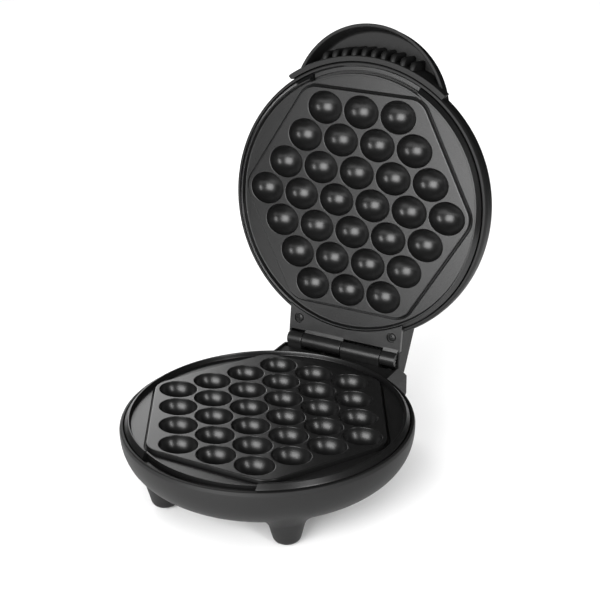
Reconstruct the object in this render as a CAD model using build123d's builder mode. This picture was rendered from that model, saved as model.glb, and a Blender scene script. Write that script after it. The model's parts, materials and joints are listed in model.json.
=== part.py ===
import math
import os

from build123d import *

os.makedirs("parts", exist_ok=True)

# Both halves share one plate and one shell section. Each half is built on its own seat plane:
# origin at the plate centre on the pad face, local Y towards the handle side, local Z out of the plate.

# Stance and hinge. The row origin is on the table under the middle of the open appliance,
# so the base plate's centre lies in front of it.
plate_forward = 41.32
stand_height = 56.5
hinge_rise = 0.8
open_angle = 99.4
end_gap = 0.3

# Bubble pattern
bubble_pitch = 30.0
row_step = 22.54
row_counts = (3, 4, 5, 6, 5, 4, 3)
bubble_half_length = 14.05
bubble_half_width = 12.1
bubble_depth = 12.0
bubble_wall = 2.0
bubble_boss = 13.6

# Cooking plate section
pad_apothem = 82.0
pad_corner = 15.0
pad_edge = 0.8
channel_drop = 2.8
web_thickness = 3.6
ring_outer = 100.4
ring_slope = 2.8
ring_crest = 1.0
ring_ramp = 0.8
ring_height = 0.65
skirt_thickness = 4.4
ledge_drop = 8.8
slot_half = 44.0
slot_wall = 0.6
slot_drop = 5.6
strip_width = 1.5
strip_height = 0.6
leaf_notch = 2.1
post_radius = 4.5
post_inset = 7.0
post_end = 20.0
tongue_half = 20.0
tongue_catch = 1.2

# Shell section
rim_gap = 0.8
rim_width = 2.8
rim_step = 0.6
shell_waist = 6.0
shell_depth = 40.0
shell_wall = 2.5
shell_square = 0.767
rim_drop = 3.2
ledge_width = 6.6
ledge_thickness = 2.5

# Legs and foot pads
leg_top_radius = 13.5
leg_foot_radius = 9.0
leg_round = 3.6
front_leg = (49.0, 60.0)
rear_leg = (43.0, -93.0)
foot_pad_radius = 4.6
foot_pad_proud = 0.8
foot_pad_recess = 2.0

# Hinge pieces
hinge_setback = 9.7
barrel_radius = 5.5
barrel_outer = 46.0
barrel_split = 33.5
pin_radius = 2.5
running_clearance = 0.06
fixed_clearance = 0.02
cheek_inner = 48.0
neck_half = 47.7
neck_wall = 1.4
neck_reach = 12.3
block_half = 50.4
leaf_half = 47.5
leaf_thickness = 3.2
leaf_screw_x = 39.6
leaf_screw_inset = 16.3
bracket_foot = 3.0

# Handle
handle_face = 9.5
handle_back = 26.0
handle_radius = 62.9
handle_inset = 35.4
handle_taper = 2.5
handle_fall = 1.6
handle_wall = 2.6
band_thickness = 4.0
band_front = 2.6
band_depth = 9.0
band_inset = 16.5
rib_count = 10
rib_pitch = 7.9
rib_thickness = 3.4
rib_height = 6.0
rib_round = 1.3
peg_radius = 2.5
peg_angle = 14.0

# Heating parts
element_radius = 3.25
element_circle = 52.0
element_gap = 20.0
element_drop = 17.5
sheet = 0.8
reflector_flat = 66.0
reflector_rim = 78.0
seat_clearance = 0.25

# Fits and small fixings
fit_gap = 0.15
gland_bore = 7.6
gland_body = 5.6
gland_flange = 6.9
gland_drop = 22.8
lens_radius = 3.5
lens_flange = 1.2
lens_seat = 38.5
lamp_x = 10.0
lamp_y = 62.0
holder_length = 34.0
holder_width = 12.0
holder_height = 8.0
holder_lift = 0.5

# Terminal block
terminal_seat = 37.0

# Radii and levels that follow from the plate's ring outwards
ring_crest_out = ring_outer - ring_slope
ring_crest_in = ring_crest_out - ring_crest
ring_inner = ring_crest_in - ring_ramp
slot_inner = ring_inner - slot_wall
strip_inner = slot_inner - strip_width
skirt_inner = ring_outer - skirt_thickness
post_circle = skirt_inner - post_inset
leaf_notch_inner = ring_outer - leaf_notch
leaf_inner = leaf_notch_inner + end_gap
rim_inner = ring_outer + rim_gap
ledge_inner = rim_inner - ledge_width
tongue_reach = rim_inner + tongue_catch
shell_radius = rim_inner + rim_width
rim_outer = shell_radius - rim_step
hinge_back = shell_radius + hinge_setback
leaf_screw_y = leaf_screw_inset - hinge_back
handle_centre = shell_radius - handle_inset
band_end = shell_radius - band_inset
holder_seat = lens_seat - lens_flange - holder_lift
terminal_foot = shell_waist + shell_depth - shell_wall - 1

open_rad = math.radians(open_angle)
hinge = Vector(0, hinge_back - plate_forward, stand_height + hinge_rise)
to_handle = Vector(0, -math.cos(open_rad), math.sin(open_rad))
out_of_lid = Vector(0, -math.sin(open_rad), -math.cos(open_rad))

lower_seat = Plane(origin=(0, -plate_forward, stand_height), x_dir=(-1, 0, 0), z_dir=(0, 0, 1))
upper_seat = Plane(
    origin=hinge + to_handle * hinge_back - out_of_lid * hinge_rise,
    x_dir=(1, 0, 0),
    z_dir=out_of_lid,
)
# Side planes at the hinge axis: local X runs past the hinge, local Y away from the plate face
# on the lid and upwards on the base.
lid_side = Plane(origin=hinge, x_dir=to_handle * -1, z_dir=(1, 0, 0))
base_side = Plane(origin=hinge, x_dir=(0, 1, 0), z_dir=(1, 0, 0))


def seat_axis(seat):
    return Axis(seat.origin, seat.z_dir)


def section(seat):
    return Plane(origin=seat.origin, x_dir=seat.x_dir, z_dir=seat.y_dir * -1)


def bubble_centres():
    middle = (len(row_counts) - 1) / 2
    centres = []
    for row, count in enumerate(row_counts):
        y = (middle - row) * row_step
        for place in range(count):
            centres.append(((place - (count - 1) / 2) * bubble_pitch, y))
    return centres


def post_centres():
    angle = math.radians(30)
    x = post_circle * math.cos(angle)
    y = post_circle * math.sin(angle)
    return [(x, y), (-x, y), (-x, -y), (x, -y)]


def save(part, label):
    part.label = label
    export_step(part, f"parts/{label}.step")
    print(label, len(part.solids()), round(part.volume))


def outer_profile(grow):
    waist = shell_radius + grow
    bottom = -shell_waist - shell_depth - grow
    swell = shell_square * shell_depth
    edge = rim_outer + grow
    Polyline((0, bottom), (0, -rim_drop), (edge - 0.8, -rim_drop), (edge, -rim_drop - 0.8))
    Line((edge, -rim_drop - 0.8), (waist, -shell_waist))
    Bezier((waist, -shell_waist), (waist, -shell_waist - swell), (shell_square * waist, bottom), (0, bottom))


def inner_profile():
    ledge = -ledge_drop - ledge_thickness
    inside = shell_radius - shell_wall
    floor = -shell_waist - shell_depth + shell_wall
    swell = shell_square * (ledge - floor)
    Polyline(
        (0, floor),
        (0, 0),
        (rim_inner, 0),
        (rim_inner, -ledge_drop),
        (ledge_inner, -ledge_drop),
        (ledge_inner, ledge),
        (inside, ledge),
    )
    Bezier((inside, ledge), (inside, ledge - swell), (shell_square * inside, floor), (0, floor))


def bubble():
    with BuildPart() as cutter:
        with BuildSketch(Plane.XZ):
            Ellipse(bubble_half_length, bubble_half_width)
            with Locations((0, bubble_half_width)):
                Rectangle(4 * bubble_half_length, 2 * bubble_half_width, mode=Mode.INTERSECT)
        revolve(axis=Axis.X)
    return cutter.part


def cooking_plate(seat, with_notch):
    top_of_web = -channel_drop
    under = top_of_web - web_thickness
    with BuildPart() as plate:
        with BuildSketch(section(seat)):
            with BuildLine():
                Polyline(
                    (0, under),
                    (0, top_of_web),
                    (ring_inner, top_of_web),
                    (ring_crest_in, ring_height),
                    (ring_crest_out, ring_height),
                    (ring_outer, top_of_web),
                    (ring_outer, -ledge_drop),
                    (skirt_inner, -ledge_drop),
                    (skirt_inner, under),
                    (0, under),
                )
            make_face()
        revolve(axis=seat_axis(seat))
        with BuildSketch(seat.offset(under)) as pad_outline:
            RegularPolygon(radius=pad_apothem, side_count=6, major_radius=False)
            fillet(pad_outline.vertices(), pad_corner)
        extrude(amount=-under)
        pad_top = plate.faces().sort_by(seat_axis(seat)).filter_by(
            lambda face: abs(face.area - 2 * math.sqrt(3) * pad_apothem**2) < 400
        )
        chamfer(pad_top.sort_by(seat_axis(seat))[-1].edges(), pad_edge)
        with Locations(seat):
            with Locations(*[(x, y, under) for x, y in bubble_centres()]):
                Cone(
                    bottom_radius=bubble_boss,
                    top_radius=bubble_half_length * 0.46 + bubble_wall,
                    height=bubble_depth + bubble_wall + under,
                    rotation=(180, 0, 0),
                    align=(Align.CENTER, Align.CENTER, Align.MIN),
                )
            with Locations(*[(x, y, bubble_half_width - bubble_depth) for x, y in bubble_centres()]):
                add(bubble(), mode=Mode.SUBTRACT)
            with Locations(*[(x, y, under) for x, y in post_centres()]):
                Cylinder(
                    post_radius,
                    post_end + under,
                    rotation=(180, 0, 0),
                    align=(Align.CENTER, Align.CENTER, Align.MIN),
                )
            with Locations(*[(x, y, -post_end) for x, y in post_centres()]):
                Cylinder(
                    1.6,
                    11,
                    align=(Align.CENTER, Align.CENTER, Align.MIN),
                    mode=Mode.SUBTRACT,
                )
        with BuildSketch(seat.offset(top_of_web)) as strip:
            Circle(slot_inner)
            Circle(strip_inner, mode=Mode.SUBTRACT)
            with Locations((0, slot_inner)):
                Rectangle(2 * slot_half + 3, 2 * slot_inner - 40, mode=Mode.INTERSECT)
        extrude(amount=strip_height)
        with BuildSketch(seat.offset(-slot_drop)):
            Circle(ring_outer + 1)
            Circle(slot_inner, mode=Mode.SUBTRACT)
            with Locations((0, ring_outer)):
                Rectangle(2 * slot_half, 2 * ring_outer - 50, mode=Mode.INTERSECT)
        extrude(amount=slot_drop + ring_height + 1, mode=Mode.SUBTRACT)
        with BuildSketch(seat.offset(-ledge_drop + 0.2)):
            Circle(tongue_reach)
            Circle(ring_outer - 1, mode=Mode.SUBTRACT)
            with Locations((0, ring_outer)):
                Rectangle(2 * tongue_half, 40, mode=Mode.INTERSECT)
        extrude(amount=2)
        if with_notch:
            with BuildSketch(seat.offset(-rim_drop - end_gap)):
                Circle(ring_outer + 1)
                Circle(leaf_notch_inner, mode=Mode.SUBTRACT)
                with Locations((0, -ring_outer)):
                    Rectangle(2 * leaf_half + 0.8, 2 * ring_outer - 50, mode=Mode.INTERSECT)
            extrude(amount=rim_drop + ring_height + 1, mode=Mode.SUBTRACT)
    return plate.part


def heating_element(seat):
    spread = 360 - 2 * element_gap
    start = math.radians(-90 + element_gap)
    first = seat.x_dir * math.cos(start) + seat.y_dir * math.sin(start)
    along = seat.x_dir * math.sin(start) - seat.y_dir * math.cos(start)
    other = seat.x_dir * -math.cos(start) + seat.y_dir * math.sin(start)
    back = seat.x_dir * -math.sin(start) - seat.y_dir * math.cos(start)
    centre = seat.origin - seat.z_dir * element_drop
    tube_start = Plane(origin=centre + first * element_circle, x_dir=first, z_dir=along * -1)
    with BuildPart() as element:
        with BuildSketch(tube_start):
            Circle(element_radius)
        revolve(axis=Axis(centre, seat.z_dir), revolution_arc=spread)
        with BuildSketch(Plane(origin=centre + first * element_circle, z_dir=along)):
            Circle(element_radius * 0.5)
        extrude(amount=9)
        with BuildSketch(Plane(origin=centre + other * element_circle, z_dir=back)):
            Circle(element_radius * 0.5)
        extrude(amount=9)
    return element.part


def heat_reflector(seat):
    low = -element_drop - element_radius - seat_clearance
    high = -post_end
    with BuildPart() as reflector:
        with BuildSketch(section(seat)):
            with BuildLine():
                Polyline(
                    (7.6, low),
                    (reflector_flat, low),
                    (reflector_flat + 3, high),
                    (reflector_rim, high),
                    (reflector_rim, high - sheet),
                    (reflector_flat + 3.4, high - sheet),
                    (reflector_flat + 0.4, low - sheet),
                    (7.6, low - sheet),
                    (7.6, low),
                )
            make_face()
        revolve(axis=seat_axis(seat))
        for x, y in post_centres():
            turn = math.degrees(math.atan2(y, x))
            with BuildSketch(seat.offset(high - sheet)):
                with PolarLocations(0, 1, start_angle=turn):
                    with Locations(((reflector_rim + post_circle) / 2 + 1.5, 0)):
                        RectangleRounded(post_circle - reflector_rim + 7, 12, 3)
            extrude(amount=sheet)
        with BuildSketch(seat.offset(high - 2 * sheet)):
            with Locations(*post_centres()):
                Circle(2.0)
        extrude(amount=3 * sheet, mode=Mode.SUBTRACT)
    return reflector.part


def shell_shape(seat, grow):
    with BuildPart() as shape:
        with BuildSketch(section(seat)):
            with BuildLine():
                outer_profile(grow)
            make_face()
        revolve(axis=seat_axis(seat))
    return shape.part


def shell_cavity(seat):
    with BuildPart() as cavity:
        with BuildSketch(section(seat)):
            with BuildLine():
                inner_profile()
            make_face()
        revolve(axis=seat_axis(seat))
        with BuildSketch(seat.offset(-ledge_drop)):
            Circle(tongue_reach + 0.4)
            Circle(rim_inner - 1, mode=Mode.SUBTRACT)
            with Locations((0, rim_inner)):
                Rectangle(2 * tongue_half + 1, 40, mode=Mode.INTERSECT)
        extrude(amount=2.8)
    return cavity.part


def rear_block():
    top = -rim_drop - 0.2 - hinge_rise
    front_view = Plane(origin=(0, hinge.Y + 20, hinge.Z), x_dir=(1, 0, 0), z_dir=(0, -1, 0))
    with BuildPart() as block:
        with BuildSketch(base_side.offset(-60)) as side_view:
            with BuildLine():
                Polyline(
                    (-34, top),
                    (-1.5, top),
                    (10.5, top - 11.8),
                    (10.5, top - 27),
                    (1, top - 40.8),
                    (-34, top - 42),
                    (-34, top),
                )
            make_face()
            fillet(side_view.vertices().filter_by(lambda v: v.X > -2), 2)
        extrude(amount=120)
        with BuildSketch(front_view) as rear_view:
            with BuildLine():
                Polyline(
                    (-cheek_inner - 1.2, top + 1),
                    (-block_half, top - 12),
                    (-block_half, top - 26),
                    (-46, top - 43),
                    (46, top - 43),
                    (block_half, top - 26),
                    (block_half, top - 12),
                    (cheek_inner + 1.2, top + 1),
                    (-cheek_inner - 1.2, top + 1),
                )
            make_face()
            fillet(rear_view.vertices().filter_by(lambda v: v.Y < top - 5), 5)
        extrude(amount=60, mode=Mode.INTERSECT)
        with BuildSketch(base_side.offset(-cheek_inner)):
            with BuildLine():
                Polyline(
                    (-36, top - 1.2),
                    (-6.3, top - 1.2),
                    (-6.3, -neck_reach - 0.9),
                    (2.7, -neck_reach - 0.9),
                    (12.5, -neck_reach - 2.6),
                    (12.5, 2),
                    (-36, 2),
                    (-36, top - 1.2),
                )
            make_face()
        extrude(amount=2 * cheek_inner, mode=Mode.SUBTRACT)
    return block.part


def leg(x, y):
    with BuildPart() as tapered:
        with Locations(lower_seat):
            with Locations((x, y, -30)):
                Cone(
                    bottom_radius=leg_foot_radius,
                    top_radius=leg_top_radius + 2,
                    height=stand_height - 30 - foot_pad_proud,
                    align=(Align.CENTER, Align.CENTER, Align.MAX),
                )
        fillet(tapered.edges().filter_by(GeomType.CIRCLE).sort_by(Axis.Z)[0], leg_round)
    return tapered.part


def leg_centres():
    return [(side * x, y) for x, y in (front_leg, rear_leg) for side in (1, -1)]


def pad_spot(x, y):
    return (-x, -y - plate_forward)


def pillars(seat, centres, radius, top):
    with BuildPart() as columns:
        add(shell_shape(seat, -0.5))
        with BuildSketch(seat.offset(top)):
            with Locations(*centres):
                Circle(radius)
        extrude(amount=-60, mode=Mode.INTERSECT)
    return columns.part


def lower_shell():
    boss_top = -post_end - sheet - end_gap
    gland_spot = Plane(origin=(0, hinge.Y + 4, stand_height - gland_drop), z_dir=(0, 1, 0))
    with BuildPart() as housing:
        add(shell_shape(lower_seat, 0))
        add(rear_block())
        for x, y in leg_centres():
            add(leg(x, y))
        add(shell_cavity(lower_seat), mode=Mode.SUBTRACT)
        with BuildSketch(base_side.offset(-44)):
            with BuildLine():
                Polyline((-28, -17.5), (7, -17.5), (7, -29.5), (-1, -41), (-28, -41), (-28, -17.5))
            make_face()
        extrude(amount=88, mode=Mode.SUBTRACT)
        add(pillars(lower_seat, post_centres(), 5, boss_top))
        with BuildSketch(lower_seat.offset(-terminal_foot)):
            with Locations((0, -45)):
                RectangleRounded(34, 22, 3)
        extrude(amount=terminal_foot - terminal_seat)
        with BuildSketch(lower_seat.offset(-post_end)):
            with Locations(*post_centres()):
                Circle(1.8)
        extrude(amount=-20, mode=Mode.SUBTRACT)
        with BuildSketch(lower_seat.offset(-post_end - 6)):
            with Locations(*post_centres()):
                Circle(3.8)
        extrude(amount=-20, mode=Mode.SUBTRACT)
        with BuildSketch(gland_spot):
            Circle(gland_body + fit_gap)
        extrude(amount=10, mode=Mode.SUBTRACT)
        with BuildSketch(Plane.XY):
            with Locations(*[pad_spot(x, y) for x, y in leg_centres()]):
                Circle(foot_pad_radius + 0.1)
        extrude(amount=foot_pad_proud + foot_pad_recess, mode=Mode.SUBTRACT)
        with BuildSketch(Plane.XY.offset(hinge.Z - neck_reach - 8)):
            with Locations((-17, hinge.Y - 2), (40, hinge.Y - 2)):
                Circle(1.5)
        extrude(amount=10, mode=Mode.SUBTRACT)
    return housing.part


def bar(side, left, right, points):
    with BuildPart() as block:
        with BuildSketch(side.offset(left)):
            with BuildLine():
                Polyline(*points, points[0])
            make_face()
        extrude(amount=right - left)
    return block.part


def barrel(side, left, right):
    with BuildPart() as tube:
        with BuildSketch(side.offset(left)):
            Circle(barrel_radius)
        extrude(amount=right - left)
        chamfer(tube.edges().filter_by(GeomType.CIRCLE), 0.3)
    return tube.part


def hinge_bracket():
    floor = -neck_reach - 0.9
    half_gap = end_gap / 2
    spans = ((-barrel_outer, -barrel_split - half_gap), (half_gap, barrel_split - half_gap))
    foot = ((-6, floor), (2, floor), (2, floor + bracket_foot), (-6, floor + bracket_foot))
    web = ((-5, floor + 1), (2, floor + 1), (2, -3), (3.5, 0), (-5.2, 0))
    with BuildPart() as bracket:
        add(bar(base_side, -barrel_outer + 0.1, barrel_outer - 0.1, foot))
        for left, right in spans:
            add(bar(base_side, left + 0.3, right - 0.3, web))
            add(barrel(base_side, left, right))
        with BuildSketch(base_side.offset(-50)):
            Circle(pin_radius + fixed_clearance)
        extrude(amount=100, mode=Mode.SUBTRACT)
        with BuildSketch(Plane.XY.offset(hinge.Z + floor - 1)):
            with Locations((-17, hinge.Y - 2), (40, hinge.Y - 2)):
                Circle(1.6)
        extrude(amount=6, mode=Mode.SUBTRACT)
    return bracket.part


def bracket_screws():
    seat = hinge.Z - neck_reach - 0.9 + bracket_foot
    with BuildPart() as screws:
        for x in (-17, 40):
            with Locations((x, hinge.Y - 2, seat)):
                Cylinder(2.6, 1.8, align=(Align.CENTER, Align.CENTER, Align.MIN))
                Cylinder(1.45, 6.5, align=(Align.CENTER, Align.CENTER, Align.MAX))
    return screws.part


def neck():
    with BuildPart() as block:
        with BuildSketch(lid_side.offset(-neck_half)) as side_view:
            with BuildLine():
                Polyline(
                    (-34, rim_drop + hinge_rise),
                    (-6.2, rim_drop + hinge_rise),
                    (-6.2, hinge_rise),
                    (7, hinge_rise),
                    (neck_reach, 6),
                    (neck_reach, 12.2),
                    (-18.7, 24),
                    (-34, 29),
                    (-34, rim_drop + hinge_rise),
                )
            make_face()
            fillet(side_view.vertices().filter_by(lambda v: v.X > 0), 2)
        extrude(amount=2 * neck_half)
    return block.part


def upper_shell():
    pegs = [90 - peg_angle, 90 + peg_angle]
    left, right = neck_wall - neck_half, neck_half - neck_wall
    barrel_space = ((-6.2, -1), (9.9, -1), (9.9, 10.2), (-6.2, 16.2))
    mouth = ((9, -1), (14, -1), (14, 5.2), (9, 5.2))
    with BuildPart() as housing:
        add(shell_shape(upper_seat, 0))
        add(neck())
        add(shell_cavity(upper_seat), mode=Mode.SUBTRACT)
        add(bar(lid_side, left, right, barrel_space), mode=Mode.SUBTRACT)
        add(bar(lid_side, left, right, mouth), mode=Mode.SUBTRACT)
        with BuildSketch(upper_seat.offset(-12)):
            with Locations((0, -hinge_back + 8.2 + 10)):
                Rectangle(68, 20)
            Circle(shell_radius + 2, mode=Mode.SUBTRACT)
        extrude(amount=10, mode=Mode.SUBTRACT)
        with BuildSketch(upper_seat.offset(-13)):
            with Locations((leaf_screw_x, leaf_screw_y), (-leaf_screw_x, leaf_screw_y)):
                Circle(1.6)
        extrude(amount=11, mode=Mode.SUBTRACT)
        add(pillars(upper_seat, [(lamp_x, lamp_y), (-lamp_x, lamp_y)], 6.5, -lens_seat))
        add(pillars(upper_seat, [(0, lamp_y)], 2.5, -holder_seat))
        with BuildSketch(upper_seat.offset(-50)):
            with Locations((lamp_x, lamp_y), (-lamp_x, lamp_y)):
                Circle(lens_radius + fit_gap)
        extrude(amount=16, mode=Mode.SUBTRACT)
        for turn in pegs:
            add(peg(turn, peg_radius + 0.1, shell_radius - 8), mode=Mode.SUBTRACT)
    return housing.part


def peg(turn, radius, start):
    angle = math.radians(turn)
    out = upper_seat.x_dir * math.cos(angle) + upper_seat.y_dir * math.sin(angle)
    foot = upper_seat.origin - upper_seat.z_dir * 16 + out * start
    with BuildPart() as stub:
        with BuildSketch(Plane(origin=foot, z_dir=out)):
            Circle(radius)
        extrude(amount=shell_radius + 2 - start)
    return stub.part


def hinge_leaf():
    half_gap = end_gap / 2
    spans = ((half_gap - barrel_split, -half_gap), (barrel_split + half_gap, barrel_outer))
    slots = ((0.2 - neck_half + neck_wall, half_gap - barrel_split), (-half_gap, barrel_split + half_gap))
    plate_top = hinge_rise + leaf_thickness
    web = ((-8, hinge_rise), (-8, plate_top), (-6.1, plate_top), (-2, 5), (0, 0), (-5.3, 0))
    with BuildPart() as leaf:
        with BuildSketch(upper_seat.offset(-leaf_thickness)):
            with Locations((0, 6.3 - hinge_back)):
                Rectangle(2 * leaf_half, 60, align=(Align.CENTER, Align.MIN))
            Circle(leaf_inner, mode=Mode.SUBTRACT)
            with Locations((0, -20)):
                Rectangle(200, 120, align=(Align.CENTER, Align.MAX), mode=Mode.INTERSECT)
        extrude(amount=leaf_thickness)
        for left, right in slots:
            add(bar(lid_side, left, right, ((-7.2, -1), (-5, -1), (-5, 6), (-7.2, 6))), mode=Mode.SUBTRACT)
        for left, right in spans:
            add(bar(lid_side, left, right, web))
            add(barrel(lid_side, left, right))
        with BuildSketch(lid_side.offset(-50)):
            Circle(pin_radius + running_clearance)
        extrude(amount=100, mode=Mode.SUBTRACT)
        with BuildSketch(upper_seat.offset(-1.6)):
            with Locations((leaf_screw_x, leaf_screw_y), (-leaf_screw_x, leaf_screw_y)):
                Circle(4)
        extrude(amount=3, mode=Mode.SUBTRACT)
        with BuildSketch(upper_seat.offset(-5)):
            with Locations((leaf_screw_x, leaf_screw_y), (-leaf_screw_x, leaf_screw_y)):
                Circle(1.8)
        extrude(amount=6, mode=Mode.SUBTRACT)
    return leaf.part


def leaf_screw(side):
    spot = (side * leaf_screw_x, leaf_screw_y)
    with BuildPart() as screw:
        with BuildSketch(upper_seat.offset(-1.6)):
            with Locations(spot):
                Circle(3.1)
        extrude(amount=1.3)
        with BuildSketch(upper_seat.offset(-1.6)):
            with Locations(spot):
                Circle(1.5)
        extrude(amount=-10.5)
        with BuildSketch(upper_seat.offset(-1.1)):
            with Locations(spot):
                Rectangle(3.6, 0.9)
                Rectangle(0.9, 3.6)
        extrude(amount=2, mode=Mode.SUBTRACT)
    return screw.part


def hinge_pin():
    with BuildPart() as pin:
        with BuildSketch(base_side.offset(end_gap - barrel_outer)):
            Circle(pin_radius)
        extrude(amount=2 * (barrel_outer - end_gap))
        chamfer(pin.edges().filter_by(GeomType.CIRCLE), 0.4)
    return pin.part


def hood(level, wall):
    share = (-level - handle_face) / (handle_back - handle_face)
    with Locations((0, handle_centre - share * handle_fall)):
        Circle(handle_radius - share * handle_taper - wall)


def rib(x, foot):
    front = -band_front - 1
    back = handle_wall - handle_back - 0.5
    crest = foot + rib_height
    bend = front - rib_height
    corner = upper_seat.origin + upper_seat.x_dir * (x - rib_thickness / 2)
    with BuildPart() as fin:
        with BuildSketch(Plane(origin=corner, x_dir=upper_seat.y_dir, z_dir=upper_seat.x_dir)):
            with BuildLine():
                Polyline((foot, front), (foot - 1.5, front), (foot - 1.5, back), (crest, back), (crest, bend))
                Bezier((crest, bend), (crest, front - 1), (foot, front))
            make_face()
        extrude(amount=rib_thickness)
        upper = fin.faces().filter_by(lambda face: face.normal_at().dot(upper_seat.y_dir) > 0.3)
        ridges = upper.edges().filter_by(lambda edge: abs(edge.tangent_at(0.5).dot(upper_seat.x_dir)) < 0.1)
        fillet(ridges, rib_round)
    return fin.part


def lid_handle():
    wall_radius = shell_radius + fit_gap + band_thickness
    with BuildPart() as pocket:
        with BuildSketch(upper_seat.offset(0)):
            hood(0, handle_wall)
        with BuildSketch(upper_seat.offset(-handle_back + handle_wall)):
            hood(-handle_back + handle_wall, handle_wall)
        loft()
        with BuildSketch(upper_seat.offset(1)):
            Circle(wall_radius)
        extrude(amount=-handle_back - 2, mode=Mode.SUBTRACT)
    with BuildPart() as handle:
        with BuildSketch(upper_seat.offset(-handle_face)):
            hood(-handle_face, 0)
        with BuildSketch(upper_seat.offset(-handle_back)):
            hood(-handle_back, 0)
        loft()
        fillet(handle.edges().sort_by(seat_axis(upper_seat))[0], 5)
        with BuildSketch(upper_seat.offset(-band_front - band_depth)):
            Circle(wall_radius)
            with Locations((0, band_end)):
                Rectangle(200, 60, align=(Align.CENTER, Align.MIN), mode=Mode.INTERSECT)
        extrude(amount=band_depth)
        add(shell_shape(upper_seat, fit_gap), mode=Mode.SUBTRACT)
        with BuildSketch(upper_seat):
            Circle(shell_radius + fit_gap)
        extrude(amount=-rim_drop - 2.8, mode=Mode.SUBTRACT)
        add(pocket.part, mode=Mode.SUBTRACT)
        for place in range(rib_count):
            x = (place - (rib_count - 1) / 2) * rib_pitch
            add(rib(x, math.sqrt(wall_radius**2 - x * x)))
        for turn in (90 - peg_angle, 90 + peg_angle):
            add(peg(turn, peg_radius, shell_radius - 6.5))
    return handle.part


def cord_gland():
    face = hinge.Y + 10.5
    spot = Plane(origin=(0, face, stand_height - gland_drop), z_dir=(0, 1, 0))
    with BuildPart() as gland:
        with BuildSketch(spot.offset(-5.5)):
            Circle(gland_body)
        extrude(amount=6)
        with BuildSketch(spot):
            Circle(gland_flange)
        extrude(amount=2.4)
        chamfer(gland.edges().filter_by(GeomType.CIRCLE).sort_by(Axis.Y)[-1], 0.8)
        with BuildSketch(spot.offset(-8)):
            Circle(gland_bore / 2)
        extrude(amount=14, mode=Mode.SUBTRACT)
    return gland.part


def foot_pad(x, y):
    with BuildPart() as pad:
        with BuildSketch(Plane.XY):
            with Locations(pad_spot(x, y)):
                Circle(foot_pad_radius)
        extrude(amount=foot_pad_proud + foot_pad_recess)
        chamfer(pad.edges().filter_by(GeomType.CIRCLE).sort_by(Axis.Z)[0], 0.4)
    return pad.part


def posts_screws(seat, head_level):
    with BuildPart() as screws:
        with BuildSketch(seat.offset(head_level)):
            with Locations(*post_centres()):
                Circle(3.3)
        extrude(amount=-2.4)
        with BuildSketch(seat.offset(head_level)):
            with Locations(*post_centres()):
                Circle(1.5)
        extrude(amount=-10.5 - head_level)
    return screws.part


def thermostat():
    flat = -element_drop - element_radius - seat_clearance
    with BuildPart() as unit:
        with BuildSketch(section(lower_seat)):
            with BuildLine():
                Polyline(
                    (0, flat - 8),
                    (0, -14.4),
                    (6.6, -14.4),
                    (7, -14.8),
                    (7, flat + 0.8),
                    (9.6, flat + 0.8),
                    (9.6, flat),
                    (7.4, flat),
                    (7.4, flat - 8),
                    (0, flat - 8),
                )
            make_face()
        revolve(axis=seat_axis(lower_seat))
        with BuildSketch(lower_seat.offset(flat - 12)):
            with Locations((4, 0), (-4, 0)):
                Rectangle(0.8, 5)
        extrude(amount=5)
    return unit.part


def thermal_fuse():
    under = -element_drop - element_radius - seat_clearance - sheet
    centre = lower_seat.origin + lower_seat.y_dir * 30 + lower_seat.z_dir * (under - 2.25)
    with BuildPart() as fuse:
        with BuildSketch(Plane(origin=centre - Vector(7, 0, 0), z_dir=(1, 0, 0))):
            Circle(2.2)
        extrude(amount=14)
        with BuildSketch(Plane(origin=centre - Vector(16, 0, 0), z_dir=(1, 0, 0))):
            Circle(0.6)
        extrude(amount=32)
    return fuse.part


def terminal_block():
    with BuildPart() as block:
        with BuildSketch(lower_seat.offset(-terminal_seat)):
            with Locations((0, -45)):
                RectangleRounded(30, 18, 2)
        extrude(amount=12)
        with BuildSketch(lower_seat.offset(12 - terminal_seat)):
            with Locations((-9, -45), (0, -45), (9, -45)):
                Rectangle(6, 13)
        extrude(amount=-6, mode=Mode.SUBTRACT)
        for x in (-9, 0, 9):
            with BuildSketch(lower_seat.offset(6 - terminal_seat)):
                with Locations((x, -41), (x, -49)):
                    Circle(2)
            extrude(amount=3)
    return block.part


def lamp_lens(side):
    with BuildPart() as lens:
        with BuildSketch(upper_seat.offset(-43.6)):
            with Locations((side * lamp_x, lamp_y)):
                Circle(lens_radius)
        extrude(amount=6.7)
        fillet(lens.edges().filter_by(GeomType.CIRCLE).sort_by(seat_axis(upper_seat))[0], 0.9)
        with BuildSketch(upper_seat.offset(-lens_seat)):
            with Locations((side * lamp_x, lamp_y)):
                Circle(lens_radius + 1.3)
        extrude(amount=lens_flange)
    return lens.part


def lamp_holder():
    with BuildPart() as holder:
        with BuildSketch(upper_seat.offset(-holder_seat)):
            with Locations((0, lamp_y)):
                RectangleRounded(holder_length, holder_width, 2)
        extrude(amount=holder_height)
        with BuildSketch(upper_seat.offset(holder_height - holder_seat)):
            with Locations((lamp_x, lamp_y), (-lamp_x, lamp_y)):
                Rectangle(9, 7)
        extrude(amount=-5, mode=Mode.SUBTRACT)
    return holder.part


save(lower_shell(), "lower_housing")
save(cooking_plate(lower_seat, False), "lower_cooking_plate")
save(heating_element(lower_seat), "lower_heating_element")
save(heat_reflector(lower_seat), "lower_heat_reflector")
save(posts_screws(lower_seat, -post_end - 6), "lower_plate_screws")
save(thermostat(), "thermostat")
save(thermal_fuse(), "thermal_fuse")
save(terminal_block(), "terminal_block")
save(cord_gland(), "cord_inlet_gland")
save(hinge_bracket(), "base_hinge_bracket")
save(bracket_screws(), "base_hinge_screws")
save(hinge_pin(), "hinge_pin")
for spot, label in zip(leg_centres(), ("front_left", "front_right", "rear_left", "rear_right")):
    save(foot_pad(*spot), f"foot_pad_{label}")

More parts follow.
